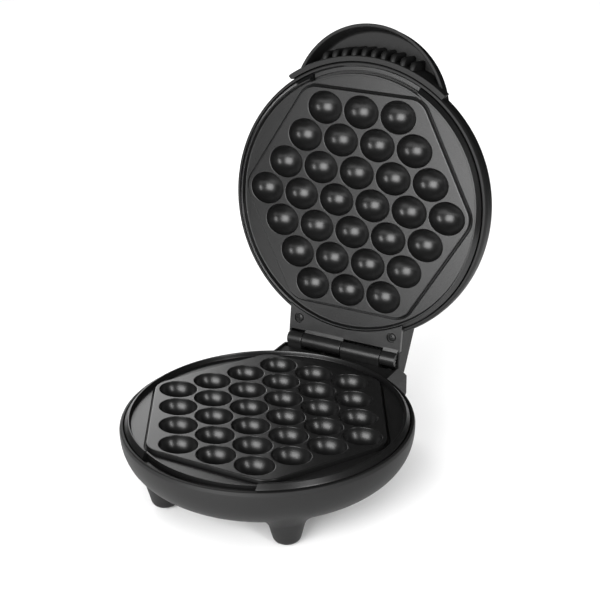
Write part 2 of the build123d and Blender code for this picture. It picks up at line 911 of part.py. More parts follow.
save(upper_shell(), "upper_housing")
save(cooking_plate(upper_seat, True), "upper_cooking_plate")
save(heating_element(upper_seat), "upper_heating_element")
save(heat_reflector(upper_seat), "upper_heat_reflector")
save(posts_screws(upper_seat, -post_end - sheet), "upper_plate_screws")
save(lid_handle(), "lid_handle")
save(hinge_leaf(), "lid_hinge_leaf")
save(leaf_screw(-1), "lid_hinge_screw_left")
save(leaf_screw(1), "lid_hinge_screw_right")
save(lamp_lens(-1), "power_lamp_lens")
save(lamp_lens(1), "ready_lamp_lens")
save(lamp_holder(), "lamp_holder")
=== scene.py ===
# %% [markdown]
# # Bubble waffle maker
# A round electric iron stands open on four legs. Two bowl-shaped shells carry two plates of ball-shaped
# cavities, and a hinge at the back joins them. The packed solids give every size and place. This script
# makes a finer shape for each piece that shows, gives every solid a finish, and sets camera and light.
# Each piece rides on the base or the lid, so the same script serves every angle of the hinge.

# %% Frame
import json
import math

import bmesh
import bpy
import numpy as np
from mathutils import Matrix, Vector
from mathutils.geometry import delaunay_2d_cdt


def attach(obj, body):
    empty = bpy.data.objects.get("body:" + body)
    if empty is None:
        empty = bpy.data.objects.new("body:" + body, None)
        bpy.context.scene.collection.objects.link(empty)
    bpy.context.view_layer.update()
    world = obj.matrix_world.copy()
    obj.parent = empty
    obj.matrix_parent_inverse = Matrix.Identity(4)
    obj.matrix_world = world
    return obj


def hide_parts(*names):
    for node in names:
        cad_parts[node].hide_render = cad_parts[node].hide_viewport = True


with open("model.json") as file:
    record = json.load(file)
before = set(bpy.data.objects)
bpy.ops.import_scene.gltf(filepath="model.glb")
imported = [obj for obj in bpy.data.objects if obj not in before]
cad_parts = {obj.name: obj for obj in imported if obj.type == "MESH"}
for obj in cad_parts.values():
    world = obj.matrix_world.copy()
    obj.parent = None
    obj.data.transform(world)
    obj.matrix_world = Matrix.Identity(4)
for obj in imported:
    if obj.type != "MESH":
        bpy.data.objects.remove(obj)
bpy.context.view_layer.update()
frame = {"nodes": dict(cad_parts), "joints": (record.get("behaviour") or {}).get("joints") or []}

nodes = frame["nodes"]

# %% [markdown]
# ## The two seats
# The two plates are nearly the same casting, one lying flat and one tilted with the lid. Each could be
# modelled where it stands, but then every curve would be worked out twice. So a plate shape is written
# once, in millimetres, on its own seat: origin at the plate centre on the pad face, Y towards the handle
# side, Z out of the plate. A seat matrix then takes it to metres in the shared frame.

# %% Seats
hinge = frame["joints"][0]
hinge_at = Vector(hinge["pos_m"]) * 1000
open_turn = math.radians(hinge["range_deg"][1])
# From the plate's centre back to the pin, and from the pad face up to it.
hinge_back = 113.7
hinge_rise = 0.8
plate_forward = hinge_back - hinge_at.y
to_handle = Vector((0, -math.cos(open_turn), math.sin(open_turn)))
out_of_lid = Vector((0, -math.sin(open_turn), -math.cos(open_turn)))


def seat_matrix(x_axis, y_axis, z_axis, origin):
    """From millimetres on a seat to metres in the shared frame."""
    turn = Matrix((x_axis, y_axis, z_axis)).transposed().to_4x4()
    return Matrix.Scale(0.001, 4) @ Matrix.Translation(origin) @ turn


lower = seat_matrix((-1, 0, 0), (0, -1, 0), (0, 0, 1), (0, -plate_forward, hinge_at.z - hinge_rise))
upper = seat_matrix(
    (1, 0, 0), to_handle, out_of_lid, hinge_at + to_handle * hinge_back - out_of_lid * hinge_rise
)
# At the hinge axis: X along the pin, Y past the hinge, Z away from the plate face.
lid_side = seat_matrix((1, 0, 0), -to_handle, -out_of_lid, hinge_at)
base_side = seat_matrix((1, 0, 0), (0, 1, 0), (0, 0, 1), hinge_at)
print("plate tilt", round(math.degrees(open_turn), 1))

# %% [markdown]
# ## Surfaces from rows of points
# Cast and moulded skins are smooth sweeps: turned bowls, swept rings, raised prisms. They could be built
# from primitives and modifiers, but rows of points keep each radius exact and each edge where the
# mould has it. A `Sheet` gathers grids and flat faces, welds them and becomes one mesh.

# %% Sheet
class Sheet:
    def __init__(self):
        self.points = []
        self.faces = []

    def grid(self, rows, loop=True):
        """Join rows of equally many points with quads; a loop also joins each row's ends."""
        rows = np.asarray(rows, float)
        count, across = rows.shape[:2]
        first = len(self.points)
        self.points.extend(map(tuple, rows.reshape(-1, 3)))
        last = across if loop else across - 1
        for row in range(count - 1):
            for step in range(last):
                a = first + row * across + step
                b = first + row * across + (step + 1) % across
                self.faces.append((a, b, b + across, a + across))
        return self

    def flat(self, points):
        """Close a row of points with one face."""
        first = len(self.points)
        self.points.extend(map(tuple, points))
        self.faces.append(tuple(range(first, first + len(points))))
        return self

    def body(self, seat, name="blank"):
        """A welded mesh object of the sheet, placed by its seat."""
        mesh = bpy.data.meshes.new(name)
        mesh.from_pydata([seat @ Vector(p) for p in self.points], [], self.faces)
        work = bmesh.new()
        work.from_mesh(mesh)
        bmesh.ops.remove_doubles(work, verts=work.verts, dist=2e-6)
        bmesh.ops.recalc_face_normals(work, faces=work.faces)
        work.to_mesh(mesh)
        work.free()
        thing = bpy.data.objects.new(name, mesh)
        bpy.context.collection.objects.link(thing)
        return thing


print("sheet ready")

# %% [markdown]
# ## Joining, cutting and rounding
# A mould is cut with tools, and a mesh can be cut the same way. The Boolean modifier with the exact solver
# joins blocks to bowls and cuts holes, and the Bevel modifier rounds edges. Both are applied at once, so
# that the next step works on plain geometry. Pieces that only touch are gathered without a cut.

# %% Cuts
def settle(thing):
    """Apply the modifiers of thing and keep only the result."""
    bpy.context.view_layer.update()
    result = bpy.data.meshes.new_from_object(thing.evaluated_get(bpy.context.evaluated_depsgraph_get()))
    thing.modifiers.clear()
    thing.data = result
    return thing


def carve(thing, operation, *tools):
    """Join, cut or intersect thing with tools, which are used up."""
    for tool in tools:
        step = thing.modifiers.new("carve", "BOOLEAN")
        step.operation = operation
        step.solver = "EXACT"
        step.object = tool
        settle(thing)
        bpy.data.objects.remove(tool)
    return thing


def soften(thing, width):
    """Round the sharp edges of thing by width in millimetres."""
    edge = thing.modifiers.new("soft edge", "BEVEL")
    edge.width = width / 1000
    edge.segments = 3
    edge.limit_method = "ANGLE"
    edge.angle_limit = math.radians(30)
    return settle(thing)


def gather(thing, *others):
    """Put the meshes of others into thing as they are."""
    work = bmesh.new()
    for source in (thing, *others):
        work.from_mesh(source.data)
    work.to_mesh(thing.data)
    work.free()
    for source in others:
        bpy.data.objects.remove(source)
    return thing


print("cutting helpers ready")

# %% [markdown]
# ## Dressing a finished shape
# A finished mesh gets its name, smooth shading with sharp edges above an angle, and one material. Large
# flat faces of a casting show dark streaks when their long thin triangles are shaded smooth, so faces
# square to `level` stay flat. The piece then rides on its body, and the solid it stands for is hidden.

# %% Dress
sharp_angle = math.radians(35)
squareness = 0.9999


def dress(thing, name, body, material, stands_for, level=None):
    """Name, smooth and paint a finished shape, and fix it to its body; faces square to level stay flat."""
    thing.name = thing.data.name = name
    thing.data.shade_smooth()
    thing.data.set_sharp_from_angle(angle=sharp_angle)
    if level:
        for face in thing.data.polygons:
            face.use_smooth = abs(face.normal @ level) < squareness
    thing.data.materials.clear()
    thing.data.materials.append(material)
    even = thing.modifiers.new("even normals", "WEIGHTED_NORMAL")
    even.keep_sharp = True
    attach(thing, body)
    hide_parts(*stands_for)
    print(name, len(thing.data.polygons), "faces")
    return thing


print("sharp edges above", round(math.degrees(sharp_angle)), "degrees")

# %% [markdown]
# ## Circles and round corners
# Two kinds of row come back everywhere: points round a circle, and a moulded corner between two flat runs.
# The corner could be an arc. A quadratic Bezier curve comes close to it and needs no centre.

# %% Circle and corner
def ring(radius, level, count, start=0.0, end=2 * math.pi, loop=True):
    """Points round the seat's axis; radius may be one number or one for each point."""
    angles = np.linspace(start, end, count, endpoint=not loop)
    radius = np.broadcast_to(radius, angles.shape)
    return np.stack([radius * np.cos(angles), radius * np.sin(angles), np.full_like(angles, level)], 1)


def bend(start, corner, end, steps=5):
    """Points of a round corner between two flat runs of a profile."""
    start, corner, end = (np.array(p, float) for p in (start, corner, end))
    t = np.linspace(0, 1, steps + 1)[:, None]
    return ((1 - t) ** 2 * start + 2 * t * (1 - t) * corner + t**2 * end).tolist()


print("a corner of", len(bend((0, 0), (1, 0), (1, 1))), "points")

# %% [markdown]
# ## Camera
# A product picture is taken from above the front corner with a long lens, which keeps round shells round.
# A camera could be aimed with a constraint. Here its place and axes are written out, because one fit to the
# cavity rims, the plate outlines and the feet gave all of them together.

# %% Camera
lens = bpy.data.cameras.new("picture_camera")
lens.lens = 87.06
lens.sensor_width = 36
lens.clip_start = 0.01
camera = bpy.data.objects.new("picture_camera", lens)
eye = Vector((0.466382, -0.771274 - plate_forward / 1000, 0.542919))
right = Vector((0.872555, 0.488283, -0.015100))
up = Vector((-0.186430, 0.361399, 0.913584))
axes = Matrix((right, up, right.cross(up))).transposed()
camera.matrix_world = Matrix.Translation(eye) @ axes.to_4x4()
bpy.context.collection.objects.link(camera)
bpy.context.scene.camera = camera
print("camera", [round(v, 3) for v in camera.location])

# %% [markdown]
# ## Light
# A black coating shows light mostly as reflections, and every cavity is a small round mirror. A large
# softbox in front gives its wide highlight, a strip at the right the narrow one, and a third behind draws
# the left edges. A white room could light everything alone, but the coating would turn grey in it. So the
# room only fills the shadows and is hidden from glossy rays.

# %% Lights
lid_middle = Vector((0, 0.092, 0.169))


def aimed_from(name, azimuth, elevation, distance, size, power):
    """A softbox aimed at the middle of the lid; azimuth 0 is straight in front, 90 is to the right."""
    a, e = math.radians(azimuth), math.radians(elevation)
    way = Vector((math.sin(a) * math.cos(e), -math.cos(a) * math.cos(e), math.sin(e)))
    light = bpy.data.lights.new(name, "AREA")
    light.shape = "RECTANGLE"
    light.size, light.size_y = size
    light.energy = power
    lamp = bpy.data.objects.new(name, light)
    lamp.location = lid_middle + way * distance
    lamp.rotation_euler = (-way).to_track_quat("-Z", "Y").to_euler()
    bpy.context.collection.objects.link(lamp)


aimed_from("front_softbox", -2, 13.5, 1.7, (1.15, 1.3), 46)
aimed_from("right_strip", 58, 19, 1.6, (0.18, 0.9), 11)
aimed_from("left_softbox", -128, 16, 1.5, (0.7, 0.8), 7.5)

world = bpy.data.worlds.new("white_room")
world.use_nodes = True
world.node_tree.nodes["Background"].inputs["Color"].default_value = (1, 1, 1, 1)
world.node_tree.nodes["Background"].inputs["Strength"].default_value = 1.0
bpy.context.scene.world = world
world.cycles_visibility.glossy = False
bpy.context.scene.view_settings.view_transform = "Standard"

# %% [markdown]
# ## A flat sheet with holes
# The plate face is one flat sheet with thirty oblong openings. Thirty booleans could cut them, but they are
# slow and move points. A constrained Delaunay triangulation keeps every rim point instead, so the
# cavities can join the sheet point by point.

# %% Flat sheet
def inside(spots, loop):
    """True for each spot that lies within the closed loop (even-odd rule)."""
    x, y = spots[:, :1], spots[:, 1:2]
    here, there = loop, np.roll(loop, -1, 0)
    crosses = (here[:, 1] > y) != (there[:, 1] > y)
    rise = np.where(there[:, 1] == here[:, 1], 1, there[:, 1] - here[:, 1])
    meets = here[:, 0] + (y - here[:, 1]) * (there[:, 0] - here[:, 0]) / rise
    return np.logical_and(crosses, x < meets).sum(1) % 2 == 1


def perforated(sheet, outline, holes, level):
    """Add a flat sheet that is bounded by outline and open at each of the holes."""
    loops = [np.asarray(loop, float)[:, :2] for loop in (outline, *holes)]
    spots, edges = [], []
    for loop in loops:
        first = len(spots)
        spots.extend(Vector(p) for p in loop)
        edges.extend((first + i, first + (i + 1) % len(loop)) for i in range(len(loop)))
    flat_spots, _, triangles, *_ = delaunay_2d_cdt(spots, edges, [], 0, 1e-7)
    flat_spots = np.array([tuple(p) for p in flat_spots])
    middles = np.array([flat_spots[list(t)].mean(0) for t in triangles])
    keep = inside(middles, loops[0])
    for hole in loops[1:]:
        keep &= ~inside(middles, hole)
    first = len(sheet.points)
    sheet.points.extend((x, y, level) for x, y in flat_spots)
    sheet.faces.extend(tuple(first + i for i in t) for t, kept in zip(triangles, keep) if kept)


print("flat sheet helper ready")

# %% [markdown]
# ## Cooking plate outline
# The plate is cast aluminium. Thirty cavities lie in seven rows inside a hexagon with round corners, and
# the hexagon stands in a shallow channel that catches what spills. The outline could be a bevelled polygon.
# In polar form, with a point every half degree, pad edge, trench and channel share one grid of rows.

# %% Plate sizes
apothem, corner = 82.0, 15.0
channel = -2.8
pitch, row_step = 30.0, 22.54
row_counts = (3, 4, 5, 6, 5, 4, 3)
web_under = -6.4
post_circle, post_radius = 89.0, 4.5
posts = [(post_circle * math.cos(a), post_circle * math.sin(a)) for a in np.radians((30, 150, 210, 330))]
centres = [
    ((place - (count - 1) / 2) * pitch, (3 - row) * row_step)
    for row, count in enumerate(row_counts)
    for place in range(count)
]


def hexagon(grow, level, count=720):
    """The pad outline moved outward by grow, as polar points, with its flats at front and back."""
    flat, bow = apothem + grow, corner + grow
    angles = np.linspace(0, 2 * math.pi, count, endpoint=False)
    off_flat = np.abs(np.mod(angles, math.pi / 3) - math.pi / 6)
    reach = (flat - bow) / math.cos(math.pi / 6)
    to_corner = math.pi / 6 - off_flat
    across = np.minimum(reach * np.sin(to_corner), bow)
    on_bow = reach * np.cos(to_corner) + np.sqrt(bow**2 - across**2)
    radius = np.where(np.tan(off_flat) * flat < reach / 2, flat / np.cos(off_flat), on_bow)
    return ring(radius, level, count)


def round_about(spot, profile, count, longer=1.0):
    """A turned shape round an upright axis through spot, stretched along X."""
    rows = [ring(radius, level, count) for radius, level in profile]
    return np.array(rows) * (longer, 1, 1) + np.array((*spot, 0))


print("cavities", len(centres))

# %% [markdown]
# ## Cavity
# A cavity is half a ball, a little longer along its row, with a soft lip where it meets the face. A sphere
# taken away by a boolean would leave a hard edge there. An arc for the ball and a small arc for the lip
# meet on a common tangent instead, so light runs over the lip unbroken.

# %% Cavity profile
ball, ball_level = 12.1, 0.1
oblong = 14.05 / ball
lip = 0.4
rim_points, cup_points = 64, 32
cup_bottom = -14
lip_centre = math.sqrt((ball + lip) ** 2 - (ball_level + lip) ** 2)
tangent = math.atan2(lip_centre, ball_level + lip)
ball_profile = [
    (ball * math.sin(t), ball_level - ball * math.cos(t)) for t in np.linspace(0, tangent, 18)
] + [
    (lip_centre + lip * math.cos(t), -lip + lip * math.sin(t))
    for t in np.linspace(math.pi / 2 + tangent, math.pi / 2, 5)[1:]
]
cup_profile = [(13.6, web_under), (8.46, cup_bottom), (0, cup_bottom)]
print("rim radius", round(lip_centre, 2), "depth", round(ball_profile[0][1], 2))

# %% [markdown]
# ## Ring round the channel
# A raised ring with sloping sides closes the channel. It stops beside the front slot, and on the lid it is
# cut back for the hinge leaf. A turned ring could be cut there. Each stretch is swept between two upright
# planes instead, so its ends come out flat, and one profile serves every stretch.

# %% Sweeps
def stretch(sheet, profile, start, end, steps):
    """Sweep a profile between two angles that may depend on the radius, and close its ends."""
    rows = [ring(r, z, steps, start(r), end(r), loop=False) for r, z in profile]
    sheet.grid(rows, loop=False)
    sheet.flat([row[0] for row in rows])
    sheet.flat([row[-1] for row in rows])


def over_front(sheet, profile, half, steps):
    """Sweep a profile over the front, from half to the right of the middle to half to the left."""
    stretch(sheet, profile, lambda r: math.acos(half / r), lambda r: math.pi - math.acos(half / r), steps)


def plate_ring(sheet, profile, notched, front_half, back_half):
    """The ring in one stretch from slot to slot, or in three with a notched one at the back."""
    front_end = lambda r: math.acos(front_half / r)
    front_start = lambda r: math.pi - math.acos(front_half / r)
    notch_right = lambda r: -math.acos(back_half / r)
    notch_left = lambda r: math.pi + math.acos(back_half / r)
    if notched:
        stretch(sheet, notched, notch_left, lambda r: 2 * math.pi + notch_right(r), 120)
        stretch(sheet, profile, notch_right, front_end, 180)
        stretch(sheet, profile, front_start, notch_left, 180)
    else:
        stretch(sheet, profile, front_start, lambda r: 2 * math.pi + front_end(r), 480)


print("sweeps ready")

# %% Ring and slot profiles
inner, outer = 95.2, 100.4
skirt_inner, skirt_end = 96.0, -8.8
crest = 0.65
slot_level, slot_floor = -5.6, -8.3
slot_half, notch_half, tongue_half = 44, 47.9, 20
strip_top = -2.2
ring_foot = [(inner, channel), *bend((95.6, channel), (95.85, channel), (95.97, -2.3))]
ring_top = bend((96.4, -0.2), (96.6, crest), (96.95, crest))
ring_top += bend((97.3, crest), (97.6, crest), (97.95, 0.22))
skirt = [(outer, -8.5), (100.1, skirt_end), (skirt_inner, skirt_end), (skirt_inner, web_under)]
full_ring = ring_foot + ring_top + bend((100.05, -2.37), (outer, -2.8), (outer, -3.3)) + skirt
notched_ring = ring_foot + ring_top + [(98.3, -0.21), (98.3, -3.5), (outer, -3.5)] + skirt
slot_bed = [(inner, channel), (inner, slot_floor), (outer, slot_floor)] + skirt
slot_ledge = [(97, slot_floor), *bend((97, -6), (97, slot_level), (97.4, slot_level), 3)]
slot_ledge += [(100.1, slot_level), (outer, -5.9), (outer, slot_floor)]
strip = [(93.7, -2.9), *bend((93.7, -2.4), (93.7, strip_top), (93.9, strip_top), 3)]
strip += [*bend((95, strip_top), (inner, strip_top), (inner, -2.4), 3), (inner, -2.9)]
tongue = [(100, -8.6), (100, -6.6), (102.4, -6.6), (102.4, -8.6), (100, -8.6)]
print("ring", round(outer - inner, 2), "wide")

# %% [markdown]
# ## Cooking plate
# A plate has its pad with the cavities, the channel, cups and posts underneath, the ring and the slot. They
# could be booleans on one block, but thirty cups and posts would take minutes. They are laid into one sheet
# as separate skins, which share the points where they meet.

# %% Pad and underside
def lay_pad(plate):
    """The pad's face, cavities and rounded edge, the trench at its foot and the channel floor."""
    rims = [round_about(spot, ball_profile[-1:], rim_points, oblong)[0] for spot in centres]
    perforated(plate, hexagon(-0.8, 0), rims, 0)
    for spot in centres:
        plate.grid(round_about(spot, ball_profile, rim_points, oblong))
        plate.grid(round_about(spot, cup_profile, cup_points))
    turns = np.linspace(0, math.pi / 2, 6)
    edge = [hexagon(-0.8 + 0.8 * math.sin(t), -0.5 + 0.5 * math.cos(t)) for t in turns]
    trench = [hexagon(0.1, channel - 0.8), hexagon(0.7, channel - 1.1), hexagon(1.5, channel - 0.8)]
    bank = [hexagon(1.7, channel - 0.12), hexagon(1.9, channel)]
    plate.grid([*edge, *trench, *bank])
    perforated(plate, ring(inner, channel, 720), [bank[-1]], channel)


def lay_underside(plate):
    """The underside between the cups, and the posts that take the plate's screws."""
    cups = [round_about(spot, cup_profile[:1], cup_points)[0] for spot in centres]
    columns = [round_about(spot, [(post_radius, web_under)], cup_points)[0] for spot in posts]
    perforated(plate, ring(skirt_inner, web_under, 480), cups + columns, web_under)
    post = [(post_radius, web_under), (post_radius, -20), (1.6, -20), (1.6, -9), (0, -9)]
    for spot in posts:
        plate.grid(round_about(spot, post, cup_points))


print("a cup is", round(web_under - cup_bottom, 1), "deep under the web")

# %% [markdown]
# ## Skins that look out
# A face has a front and a back, and light falls wrongly on a skin that is inside out. Blender can work out
# the outside by itself, but it guesses wrong for an open skin. So each connected skin is turned as a whole,
# with the pad side looking up and the underside looking down.

# %% Turning skins
def face_out(thing, seat):
    """Turn the connected skins of a plate, so that the pad side looks up and the underside down."""
    up = (seat.to_3x3() @ Vector((0, 0, 1))).normalized()
    work = bmesh.new()
    work.from_mesh(thing.data)
    waiting = set(work.faces)
    turned_over = 0
    while waiting:
        skin = [waiting.pop()]
        for face in skin:
            for near in {n for edge in face.edges for n in edge.link_faces} & waiting:
                waiting.remove(near)
                skin.append(near)
        height = {face: face.calc_center_median() @ up for face in skin}
        top, foot = max(skin, key=height.get), min(skin, key=height.get)
        on_pad_side = (seat.inverted() @ top.calc_center_median()).z > -4
        if top.normal @ up < -0.5 if on_pad_side else foot.normal @ up > 0.5:
            bmesh.ops.reverse_faces(work, faces=skin)
            turned_over += 1
    work.to_mesh(thing.data)
    work.free()
    print("skins turned over", turned_over)
    return up


# %% Cooking plate
def cooking_plate(name, seat, body, material, node, notched):
    """One finished plate; notched is the ring's section behind the hinge leaf, or None."""
    plate = Sheet()
    lay_pad(plate)
    lay_underside(plate)
    over_front(plate, slot_bed, slot_half, 120)
    over_front(plate, slot_ledge, slot_half - 0.9, 120)
    plate_ring(plate, full_ring, notched, slot_half, notch_half)
    over_front(plate, strip, slot_half + 1.5, 90)
    over_front(plate, tongue, tongue_half, 30)
    shape = plate.body(seat)
    return dress(shape, name, body, material, [node], level=face_out(shape, seat))


print("ring section", len(full_ring), "points")

# %% [markdown]
# ## Blocks with round corners
# The hinge blocks are straight prisms with moulded radii. A block could be rounded with the Bevel modifier
# after it is joined, but short edges get in the way of a wide bevel. So a wide radius is put into the
# outline before it is swept, and only the small edges are left to the modifier.

# %% Prisms
def rounded(points, radii):
    """A closed outline whose corners are bent; radii is one number or one for each corner."""
    corners = np.asarray(points, float)
    radii = np.broadcast_to(radii, len(corners))
    outline = []
    for i, here in enumerate(corners):
        back, ahead = corners[i - 1] - here, corners[(i + 1) % len(corners)] - here
        back, ahead = back / np.linalg.norm(back), ahead / np.linalg.norm(ahead)
        if radii[i] == 0:
            outline.append(here.tolist())
            continue
        run = radii[i] / math.tan(math.acos(np.clip(back @ ahead, -1, 1)) / 2)
        outline.extend(bend(here + back * run, here, here + ahead * run, 6))
    return outline


def prism(outline, low, high, axis="x"):
    """An outline raised along X or Z between two places."""
    put = (lambda p, along: (along, *p)) if axis == "x" else (lambda p, along: (*p, along))
    sheet = Sheet()
    rows = [[put(p, along) for p in outline] for along in (low, high)]
    sheet.grid(rows)
    sheet.flat(rows[0])
    sheet.flat(rows[1])
    return sheet


def turned(profile, count=256, spot=(0, 0)):
    """A solid of revolution; the profile starts and ends on its axis."""
    return Sheet().grid(round_about(spot, profile, count))


def drilled(spot, radius, low, high):
    """The plug that a drill of this radius takes away."""
    return turned([(0, low), (radius, low), (radius, high), (0, high)], 48, spot)


print("prism helpers ready")

# %% [markdown]
# ## Shell section
# Base and lid are the same moulded bowl, used twice: a flat rim, a short waist and a deep curve that
# flattens at the back. It could be a squashed sphere. One cubic Bezier curve keeps the full shoulder of
# the real bowl, and it is the same curve as in the solids, so skin and solid agree.

# %% Shell profile
def bezier(a, b, c, d, count):
    """Points of a cubic Bezier curve."""
    t = np.linspace(0, 1, count)[:, None]
    a, b, c, d = (np.array(p, float) for p in (a, b, c, d))
    return (a * (1 - t) ** 3 + 3 * b * t * (1 - t) ** 2 + 3 * c * t**2 * (1 - t) + d * t**3).tolist()


waist = bezier((104, -6), (104, -36.68), (79.768, -46), (0, -46), 56)
hollow = bezier((101.5, -11.3), (101.5, -36), (77.85, -43.5), (0, -43.5), 40)
rim = bend((102.3, -3.2), (103.3, -3.2), (103.48, -4.3)) + [(103.9, -5.6)]
solid_shell = [(0, -3.2), *rim, *waist]
rim_inner, ledge, ledge_inner = 101.2, -8.8, 94.6
cavity = [(0, 1), (101.5, 1), (101.5, -3.1), *bend((101.5, -3.2), (rim_inner, -3.2), (rim_inner, -3.6), 3)]
cavity += [(rim_inner, ledge), (ledge_inner, ledge), (ledge_inner, -11.3), *hollow]
waist_radius, waist_level = np.array(waist)[::-1].T


def bowl_level(x, y):
    """Height of the shell's outer skin over a point of its seat."""
    return np.interp(np.hypot(x, y), waist_radius, waist_level)


print("shell depth", -waist[-1][1])

# %% [markdown]
# ## Legs
# Each leg is a cone moulded in one piece with the bowl, with a soft flare where they meet. A boolean and a
# bevel would struggle along that curved seam. Here the flare is bent, for every direction, between a point
# on the cone and a point on the bowl, so it meets both without a crease.

# %% Legs
foot_level, foot_radius, leg_spread = -55.7, 9.0, 6.5 / 25.7
flare = 6.0


def leg(sheet, x, y, leg_top, count=96):
    """A leg at a spot of the seat, joined to the bowl no higher than leg_top."""
    angles = np.linspace(0, 2 * math.pi, count, endpoint=False)
    out = np.stack([np.cos(angles), np.sin(angles)], 1)
    radius_at = lambda level: foot_radius + leg_spread * (level - foot_level)
    skin = lambda reach: np.minimum(bowl_level(x + reach * out[:, 0], y + reach * out[:, 1]), leg_top)
    place = lambda reach, level: np.column_stack(
        [x + reach * out[:, 0], y + reach * out[:, 1], np.broadcast_to(level, count)]
    )
    # Cone and bowl meet where both have the same level; halving the step settles on it.
    meet = np.full(count, -40.0)
    for _ in range(60):
        meet = 0.5 * meet + 0.5 * skin(radius_at(meet))
    spread = np.clip((leg_top - meet) / 3, 0.15, 1) * flare
    start_level = meet - spread
    end_reach = radius_at(meet) + spread
    end_level = skin(end_reach)
    slope = (skin(end_reach + 0.1) - skin(end_reach - 0.1)) / 0.2
    cone_reach = foot_radius - leg_spread * foot_level
    corner_level = (end_level + slope * (cone_reach - end_reach)) / (1 - slope * leg_spread)
    sole = bend((5.6, foot_level), (foot_radius, foot_level), (radius_at(-52.2), -52.2), 8)
    rows = [place(0, foot_level)]
    rows += [place(r, z) for r, z in sole]
    start = np.stack([radius_at(start_level), start_level])
    corner_at = np.stack([radius_at(corner_level), corner_level])
    end = np.stack([end_reach, end_level - 0.01])
    for t in np.linspace(0, 1, 13):
        reach, level = (1 - t) ** 2 * start + 2 * t * (1 - t) * corner_at + t**2 * end
        rows.append(place(reach, level))
    rows.append(place(end_reach - 0.4, end_level + 0.9))
    rows.append(place(0, min(bowl_level(x, y) + 1.2, leg_top)))
    sheet.grid(rows)


legs = Sheet()
leg_places = ((49, 60, 0), (43, -93, -30))
for side in (1, -1):
    for x, y, leg_top in leg_places:
        leg(legs, side * x, y, leg_top)
print("leg points", len(legs.points))

# %% [markdown]
# ## Base shell
# The bowl carries a block at the back that holds the hinge. Its top is cut into a trough between two
# cheeks, where the bracket stands. The block narrows towards its foot, so it is built level by level, like
# the bowl itself. Only the joint of block and bowl is a boolean, because no formula gives that seam.

# %% Base shell
bracket_floor = -13.2
screw_hole = 3.8


def block_row(half, back, level, corner=2.4):
    """One level of the block: a rectangle from inside the bowl to the back, with two round corners."""
    left = bend((-half, back - corner), (-half, back), (corner - half, back))
    right = bend((half - corner, back), (half, back), (half, back - corner))
    return [(x, y, level) for x, y in [(-half, -34), *left, *right, (half, -34)]]


def lower_housing(material):
    top = -4.2
    side = [(-34, top), (-1.5, top), (10.5, top - 11.8), (10.5, top - 27), (1, top - 40.8), (-34, top - 42)]
    rear = [(49.2, top), (50.4, top - 12), (50.4, top - 26), (46, top - 42)]
    trough = [(-36, top - 1.2), (-6.3, top - 1.2), (-6.3, bracket_floor), (2.7, bracket_floor)]
    trough += [(12.5, bracket_floor - 1.7), (12.5, 2), (-36, 2)]
    back = np.array(rounded(side, [0, 2, 2, 2, 2, 0])[1:-1])[::-1]
    levels = back[:, 1]
    half = np.interp(levels, *np.array(rear)[::-1, ::-1].T)
    block = Sheet().grid([block_row(w, y, z) for w, (y, z) in zip(half, back)])
    block.flat(block_row(half[0], *back[0])).flat(block_row(half[-1], *back[-1]))
    block = carve(block.body(base_side), "DIFFERENCE", prism(trough, -48, 48).body(base_side))
    soften(block, 0.7)
    shell = turned(solid_shell).body(lower)
    carve(shell, "UNION", block)
    carve(shell, "DIFFERENCE", turned(cavity).body(lower))
    for spot in posts:
        carve(shell, "DIFFERENCE", drilled(spot, screw_hole, -60, -26).body(lower))
    gather(shell, legs.body(lower))
    return dress(shell, "bowl_housing", "base", material, ["lower_housing"])


print("trough floor", bracket_floor, "from the pin")

# %% [markdown]
# ## Lid shell
# The lid's bowl has a neck that wraps the hinge barrels between two thin cheeks. It could be modelled into
# the bowl's own faces, but its flats would dent the curve. It is swept along the pin, hollowed and joined
# to the bowl. The hollow for the plate is cut last, so it also trims what the neck leaves inside.

# %% Lid shell
neck_half, neck_inner = 47.7, 46.3
lamp_x, lamp_y, lamp_hole = 10, 62, 3.65


def upper_housing(material):
    side = [(-34, 4), (-6.2, 4), (-6.2, 0.8), (7, 0.8), (12.3, 6), (12.3, 12.2), (-18.7, 24), (-34, 29)]
    hollows = [[(-6.2, -1), (9.9, -1), (9.9, 10.2), (-6.2, 16.2)], [(9, -1), (14, -1), (14, 5.2), (9, 5.2)]]
    neck = prism(rounded(side, [0, 0, 0, 2, 2, 2, 0, 0]), -neck_half, neck_half).body(lid_side)
    for room in hollows:
        carve(neck, "DIFFERENCE", prism(room, -neck_inner, neck_inner).body(lid_side))
    soften(neck, 0.5)
    shell = turned(solid_shell).body(upper)
    carve(shell, "UNION", neck)
    carve(shell, "DIFFERENCE", turned(cavity).body(upper))
    for x in (-lamp_x, lamp_x):
        carve(shell, "DIFFERENCE", drilled((x, lamp_y), lamp_hole, -50, -38).body(upper))
    return dress(shell, "lid_housing", "lid", material, ["upper_housing"])


print("neck", 2 * neck_half, "wide, lamp holes", 2 * lamp_x, "apart")

# %% [markdown]
# ## Lid handle
# The handle is a hood over the lid's edge with a deep scoop for the fingers. Its wall runs between two
# circles that don't share a centre and change with the level. A primitive can't follow that, so each level
# gets an arc of the hood circle, cut where it meets the shell, and the rows are joined into a skin.

# %% Handle walls
hood_front, hood_back = -9.5, -26.0
hood_radius, hood_shrink = 62.9, 2.5
hood_centre, hood_shift = 68.6, 1.6
wall = 2.6
scoop_radius = 108.15
pocket_floor = hood_back + wall


def hood_circle(level, inset=0.0):
    """Radius and centre of the hood circle at a level."""
    share = (hood_front - level) / (hood_front - hood_back)
    return hood_radius - hood_shrink * share - inset, hood_centre - hood_shift * share


def shell_reach(level):
    """Radius of the shell's outer skin at a level, plus the handle's seat gap."""
    return 104.15 if level > -6 else np.interp(level, waist_level, waist_radius) + 0.15


